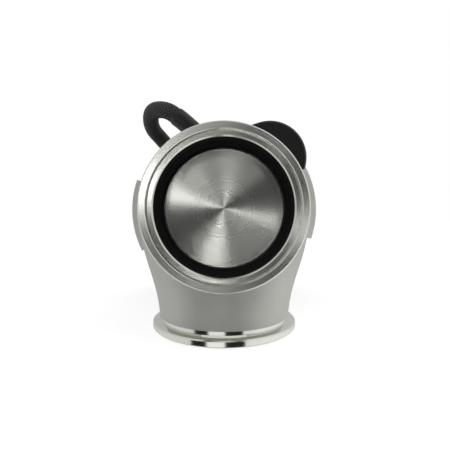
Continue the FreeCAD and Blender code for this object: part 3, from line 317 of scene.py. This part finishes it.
# ---- other looks
FINE_RELIEF = 0.02 * MM
ANODISED = (0.006, 0.006, 0.006)
ANODISED_PALER = 1.6         # its palest cloud, as a multiple of its colour
ANODISED_ROUGH = 0.42
ANODISED_ROUGH_RANGE = 0.1
ANODISED_SPECULAR = 0.35
PLAIN_SHADE = 0.85           # darkest part of a plain colour, as a share of it
PLAIN_ROUGH_RANGE = 0.08
PLAIN_CLOUDS_PER_M = 120.0


def anodised():
    """Black anodised aluminium with a fine matt grain."""
    material, tree, shader = new_material("black_anodised")
    point, _, _, _ = position(tree)
    grain = noise(tree, point, 3000.0, 2.0)
    cloud = noise(tree, point, 90.0, 3.0)
    paler = tuple(c * ANODISED_PALER for c in ANODISED)
    tree.links.new(mix_colors(tree, cloud, ANODISED, paler), shader.inputs["Base Color"])
    shader.inputs["Metallic"].default_value = 0.0
    shader.inputs["Specular IOR Level"].default_value = ANODISED_SPECULAR
    varied = math_node(tree, "MULTIPLY", cloud, ANODISED_ROUGH_RANGE)
    tree.links.new(math_node(tree, "ADD", ANODISED_ROUGH, varied), shader.inputs["Roughness"])
    bump(tree, shader, grain, FINE_RELIEF)
    return material


def plain(name, color, metallic, rough, grain_per_m=1500.0, depth=FINE_RELIEF):
    """Any smaller piece: one colour with a slow variation, a fine grain and its own shine."""
    material, tree, shader = new_material(name)
    point, _, _, _ = position(tree)
    cloud = noise(tree, point, PLAIN_CLOUDS_PER_M, 3.0)
    grain = noise(tree, point, grain_per_m, 2.0)
    darker = tuple(PLAIN_SHADE * c for c in color)
    tree.links.new(mix_colors(tree, cloud, darker, color), shader.inputs["Base Color"])
    shader.inputs["Metallic"].default_value = metallic
    varied = math_node(tree, "MULTIPLY", cloud, PLAIN_ROUGH_RANGE)
    tree.links.new(math_node(tree, "ADD", rough, varied), shader.inputs["Roughness"])
    bump(tree, shader, grain, depth)
    return material


BRAID_STRANDS = 14.0         # strands round the sleeve, each way
BRAID_TURN = 2 * math.pi / (1.9 * MM)
# Painted shade in the gaps between the strands, and painted highlight on their crowns.
BRAID_GAP_SHADE = (0.001, 0.001, 0.001)
BRAID_CROWN_HIGHLIGHT = (0.085, 0.085, 0.085)
BRAID_DEPTH = 0.8 * MM
BRAID_ROUGH = 0.5
BRAID_SPECULAR = 0.3


def braid():
    """Black braided sleeve: crossing strands on the tube's own UVs, once round and in metres along, with
    painted highlight on the strands' crowns and painted shade in the gaps between them.
    """
    material, tree, shader = new_material("braid")
    coords = node(tree, "ShaderNodeTexCoord")
    split = node(tree, "ShaderNodeSeparateXYZ")
    tree.links.new(coords.outputs["UV"], split.inputs[0])
    around, along = split.outputs[0], split.outputs[1]
    strands = []
    for lean in (1.0, -1.0):
        phase = math_node(tree, "ADD", math_node(tree, "MULTIPLY", around, BRAID_STRANDS * 2 * math.pi),
                          math_node(tree, "MULTIPLY", along, lean * BRAID_TURN))
        strands.append(math_node(tree, "SINE", phase))
    height = math_node(tree, "MAXIMUM", strands[0], strands[1])
    level = math_node(tree, "ADD", 0.5, math_node(tree, "MULTIPLY", height, 0.5))
    # Painted highlight on the strands' crowns, fading to painted shade in the gaps.
    crown_highlight = math_node(tree, "POWER", level, 3.0)
    tree.links.new(mix_colors(tree, crown_highlight, BRAID_GAP_SHADE, BRAID_CROWN_HIGHLIGHT), shader.inputs["Base Color"])
    shader.inputs["Roughness"].default_value = BRAID_ROUGH
    shader.inputs["Specular IOR Level"].default_value = BRAID_SPECULAR
    bump(tree, shader, level, BRAID_DEPTH)
    return material


# ---- loom
LOOM_R = 5.5 * MM
LOOM_ROUTE = (
    (-40.0206, 60.0, 110.5383),
    (-47.2372, 60.0, 118.8401),
    (-53.4, 50.3, 125.3),
    (-50.8, 38.4, 134.0),
    (-38.6, 30.0, 132.0),
    (-30.0, 30.5, 126.2),
    (-24.0, 33.0, 121.5),
    (-16.5, 36.0, 115.5),
    (-8.0, 36.0, 113.5),
)
CURVE_STEPS = 24
TUBE_SIDES = 48
BOOT_WALL = 0.6 * MM
BOOT_LENGTH = 30 * MM
BOOT_TAPER = 1.5 * MM


def route_curve():
    """The loom's line as a smooth NURBS spline through the air, with no thickness."""
    curve = bpy.data.curves.new("loom_line", "CURVE")
    curve.dimensions = "3D"
    curve.resolution_u = CURVE_STEPS
    spline = curve.splines.new("NURBS")
    spline.points.add(len(LOOM_ROUTE) - 1)
    for point, place in zip(spline.points, LOOM_ROUTE):
        point.co = (*(MM * c for c in place), 1.0)
    spline.order_u = 3
    spline.use_endpoint_u = True
    line = bpy.data.objects.new("loom_line", curve)
    mesh = bpy.data.meshes.new_from_object(line)
    points = [v.co.copy() for v in mesh.vertices]
    bpy.data.meshes.remove(mesh)
    bpy.data.objects.remove(line)
    return points


def lengths_along(points):
    """How far along the line each of its points lies."""
    lengths = [0.0]
    for a, b in zip(points, points[1:]):
        lengths.append(lengths[-1] + (b - a).length)
    return lengths


def tube_surface(points, lengths, wall):
    """The tube's corners, ring by ring, and their UVs: once round, and metres along."""
    last = len(points) - 1
    side = (points[1] - points[0]).normalized().orthogonal().normalized()
    vertices = []
    uvs = []
    for i, point in enumerate(points):
        ahead = (points[min(i + 1, last)] - points[max(i - 1, 0)]).normalized()
        side = (side - ahead * side.dot(ahead)).normalized()
        other = ahead.cross(side)
        radius = LOOM_R + wall * min(1.0, lengths[i] / BOOT_TAPER)
        for j in range(TUBE_SIDES + 1):
            turn = 2 * math.pi * j / TUBE_SIDES
            vertices.append(point + (side * math.cos(turn) + other * math.sin(turn)) * radius)
            uvs.append((j / TUBE_SIDES, lengths[i]))
    return vertices, uvs


def tube_faces(ring_count):
    """Quads between each ring of corners and the next."""
    row = TUBE_SIDES + 1
    return [(a, a + 1, a + row + 1, a + row)
            for i in range(ring_count - 1)
            for a in range(i * row, i * row + TUBE_SIDES)]


def tube(name, points, wall=0.0):
    """Tube on the loom's line, and its length. A wall over the sleeve thins out at the tube's first end."""
    lengths = lengths_along(points)
    vertices, uvs = tube_surface(points, lengths, wall)
    mesh = bpy.data.meshes.new(name)
    mesh.from_pydata(vertices, [], tube_faces(len(points)))
    layer = mesh.uv_layers.new(name="UVMap")
    for loop in mesh.loops:
        layer.data[loop.index].uv = uvs[loop.vertex_index]
    for face in mesh.polygons:
        face.use_smooth = True
    piece = bpy.data.objects.new(name, mesh)
    bpy.context.collection.objects.link(piece)
    return piece, lengths[-1]


def set_look(piece, material):
    """Give a piece one material and no other."""
    piece.data.materials.clear()
    piece.data.materials.append(material)


def finish_piece(piece, body, material):
    """A new piece's material and the body it rides on."""
    set_look(piece, material)
    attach(piece, body)


def loom_boot(points):
    """The heat-shrink tube over the loom's last stretch, up to the connector."""
    covered = [points[-1]]
    length = 0.0
    for near, far in zip(reversed(points[:-1]), reversed(points[1:])):
        length += (far - near).length
        if length > BOOT_LENGTH:
            break
        covered.append(near)
    boot, _ = tube("loom_boot_skin", covered[::-1], BOOT_WALL)
    finish_piece(boot, "body", plain("heat_shrink_skin", (0.006, 0.006, 0.006), 0.0, 0.42))
    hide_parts("loom_boot")
    return boot


def loom():
    """The braided cable from the gear case to its connector, with the boot over its end."""
    points = route_curve()
    sleeve, length = tube("loom_sleeve", points)
    finish_piece(sleeve, "body", braid())
    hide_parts("loom")
    boot = loom_boot(points)


# ---- carried-over nodes
def slot_looks():
    """The look of each material slot."""
    black = anodised()
    dark_steel = plain("dark_steel", (0.05, 0.05, 0.05), 1.0, 0.4)
    return {
        "cast_steel": cast_steel(),
        "turned_steel": seat_steel(),
        "black_aluminium": black,
        "gland_metal": black,
        "plain_aluminium": plain("plain_aluminium", (0.72, 0.72, 0.72), 1.0, 0.35),
        "bronze": plain("bronze", (0.60, 0.42, 0.22), 1.0, 0.35),
        "graphite": plain("graphite", (0.03, 0.03, 0.032), 0.2, 0.6),
        "ptfe": plain("ptfe", (0.80, 0.79, 0.75), 0.0, 0.45),
        "nylon": plain("nylon", (0.72, 0.70, 0.62), 0.0, 0.5),
        "bearing_steel": plain("ground_steel", (0.62, 0.62, 0.61), 1.0, 0.2),
        "spring_steel": plain("spring_steel", (0.30, 0.30, 0.31), 1.0, 0.35),
        "motor_metal": plain("motor_metal", (0.42, 0.42, 0.43), 1.0, 0.4),
        "magnet": plain("magnet", (0.06, 0.06, 0.065), 0.0, 0.6),
        "board": plain("board", (0.015, 0.13, 0.05), 0.0, 0.35),
        "black_plastic": plain("black_plastic", (0.012, 0.012, 0.012), 0.0, 0.5, 900.0, 0.03 * MM),
        "heat_shrink": plain("heat_shrink", (0.012, 0.012, 0.013), 0.0, 0.38),
        "black_screw": dark_steel,
        "bracket_steel": dark_steel,
        "braid": plain("sleeve_end", (0.01, 0.01, 0.01), 0.0, 0.6),
    }


def dress():
    """Each solid gets the look of its slot, apart from the valve, which has its own."""
    looks = slot_looks()
    face = valve_face()
    slots = {s["node"]: s["material_slot"] for s in frame["record"]["subparts"]}
    for name, piece in frame["nodes"].items():
        set_look(piece, face if name == "valve" else looks[slots[name]])


def press_spring():
    """The return spring gets a mesh of its own."""
    spring = frame["nodes"]["return_spring"]
    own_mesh(spring)


# ---- studio
# Levels of the surroundings that light the part and show in its metal. The camera sees plain white instead.
# WALLS and FRONT run round the valve face's own direction, as (bearing in degrees, level): WALLS below the
# low screen's top edge, and FRONT above it.
WALLS = (
    (-180, 0.5), (-110, 0.9), (-52, 0.9), (-50, 0.02), (-28, 0.02), (-25, 1.3),
    (0.5, 1.3), (2.5, 0.02), (31, 0.02), (33, 1.15), (110, 1.15), (180, 0.5),
)
FRONT = (
    (-180, 0.5), (-110, 0.8), (-60, 0.8), (-45, 0.05), (45, 0.05), (60, 1.0), (110, 1.0), (180, 0.5),
)
SCREEN_TOP = -17.5           # elevation in degrees
WHITE = (1.0, 1.0, 1.0)


def studio_world():
    """Studio seen in the metal: pale walls at the sides, and a low bright screen between two dark gaps."""
    world = bpy.data.worlds.new("studio")
    bpy.context.scene.world = world
    world.use_nodes = True
    tree = world.node_tree
    background = tree.nodes["Background"]
    coords = node(tree, "ShaderNodeTexCoord")
    split = node(tree, "ShaderNodeSeparateXYZ")
    tree.links.new(coords.outputs["Generated"], split.inputs[0])
    x, y, z = split.outputs
    bearing = math_node(tree, "ARCTAN2", x, math_node(tree, "MULTIPLY", y, -1.0))
    turn = math_node(tree, "ADD", math_node(tree, "DIVIDE", bearing, 2 * math.pi), 0.5)
    low, high = (ramp(tree, turn, [(0.5 + degrees / 360, level) for degrees, level in stops])
                 for stops in (WALLS, FRONT))
    raised = math_node(tree, "GREATER_THAN", z, math.sin(math.radians(SCREEN_TOP)))
    lit = mix_colors(tree, raised, low, high)
    path = node(tree, "ShaderNodeLightPath")
    color = mix_colors(tree, path.outputs["Is Camera Ray"], lit, WHITE)
    tree.links.new(color, background.inputs["Color"])
    background.inputs["Strength"].default_value = 1.0


# Softboxes in front of the valve face and above it, as it sees them: bearing, elevation, width and height
# in degrees, distance in metres, and level.
SOFTBOXES = (
    ("left_box", -16.0, 5.8, 14.0, 5.0, 0.8, 6.0),
    ("ring_box", -17.0, 20.0, 12.0, 10.0, 0.8, 2.2),
    ("right_box", 19.0, -2.8, 12.0, 3.2, 0.8, 3.4),
    ("crown_box", -4.0, 23.5, 13.0, 6.0, 0.8, 1.4),
    ("corner_box", 15.0, 17.0, 5.0, 4.0, 0.8, 2.6),
    ("high_box", -2.8, 5.6, 3.2, 2.4, 0.8, 6.0),
    ("low_box", -2.6, -8.8, 4.4, 2.4, 0.34, 20.0),
    ("top_box", 0.0, 55.0, 60.0, 24.0, 0.8, 1.4),
)


def softbox(name, bearing, elevation, width, height, distance, level):
    """Rectangular lamp facing the valve, of a given brightness level."""
    across, up = math.radians(bearing), math.radians(elevation)
    heading = Vector((math.sin(across) * math.cos(up), -math.cos(across) * math.cos(up), math.sin(up)))
    light = bpy.data.lights.new(name, "AREA")
    light.shape = "RECTANGLE"
    light.size = 2 * distance * math.tan(math.radians(width / 2))
    light.size_y = 2 * distance * math.tan(math.radians(height / 2))
    light.energy = level * math.pi * light.size * light.size_y
    lamp = bpy.data.objects.new(name, light)
    lamp.location = FACE_CENTRE + heading * distance
    lamp.rotation_euler = (-heading).to_track_quat("-Z", "Y").to_euler()
    bpy.context.collection.objects.link(lamp)


FLOOR_REACH = 3.0
FLOOR_DROP = 0.2 * MM
FLOOR_GREY = (0.5, 0.5, 0.5)
FLOOR_ROUGH = 0.9
FLOOR_GLOW = 0.72


def floor_look():
    """Matt floor that glows to the camera, keeps the part's shadow and isn't reflected in the metal."""
    material, tree, shader = new_material("floor")
    feed(tree, shader.inputs["Base Color"], FLOOR_GREY)
    shader.inputs["Roughness"].default_value = FLOOR_ROUGH
    path = node(tree, "ShaderNodeLightPath")
    clear = node(tree, "ShaderNodeBsdfTransparent")
    unseen = mix_shaders(tree, path.outputs["Is Glossy Ray"], shader.outputs[0], clear.outputs[0])
    glow = node(tree, "ShaderNodeEmission")
    glow.inputs["Strength"].default_value = FLOOR_GLOW
    pale = node(tree, "ShaderNodeAddShader")
    tree.links.new(glow.outputs[0], pale.inputs[0])
    tree.links.new(shader.outputs[0], pale.inputs[1])
    shown = mix_shaders(tree, path.outputs["Is Camera Ray"], unseen, pale.outputs[0])
    tree.links.new(shown, tree.nodes["Material Output"].inputs["Surface"])
    return material


def floor():
    """Pale floor just under the part."""
    mesh = bpy.data.meshes.new("floor")
    corners = [(-1, -1), (1, -1), (1, 1), (-1, 1)]
    mesh.from_pydata([(FLOOR_REACH * x, FLOOR_REACH * y, 0) for x, y in corners], [], [(0, 1, 2, 3)])
    piece = bpy.data.objects.new("floor", mesh)
    piece.location.z = LOW.z - FLOOR_DROP
    bpy.context.collection.objects.link(piece)
    mesh.materials.append(floor_look())


CAMERA_AT = Vector((0.5, -192.0, 60.2)) * MM
LENS_MM = 26.64
SENSOR_MM = 36.0
VIEW_SHIFT = -0.0178
NEAREST_SEEN = 10 * MM


def camera():
    """Camera level with the body, looking straight into the inlet."""
    data = bpy.data.cameras.new("camera")
    data.sensor_width = SENSOR_MM
    data.lens = LENS_MM
    data.clip_start = NEAREST_SEEN
    data.shift_y = VIEW_SHIFT
    seen = bpy.data.objects.new("camera", data)
    seen.location = CAMERA_AT
    seen.rotation_euler = (math.pi / 2, 0.0, 0.0)
    bpy.context.collection.objects.link(seen)
    bpy.context.scene.camera = seen


camera()
loom()
dress()
studio_world()
floor()
press_spring()
for box in SOFTBOXES:
    softbox(*box)
bpy.context.scene.view_settings.view_transform = "Standard"
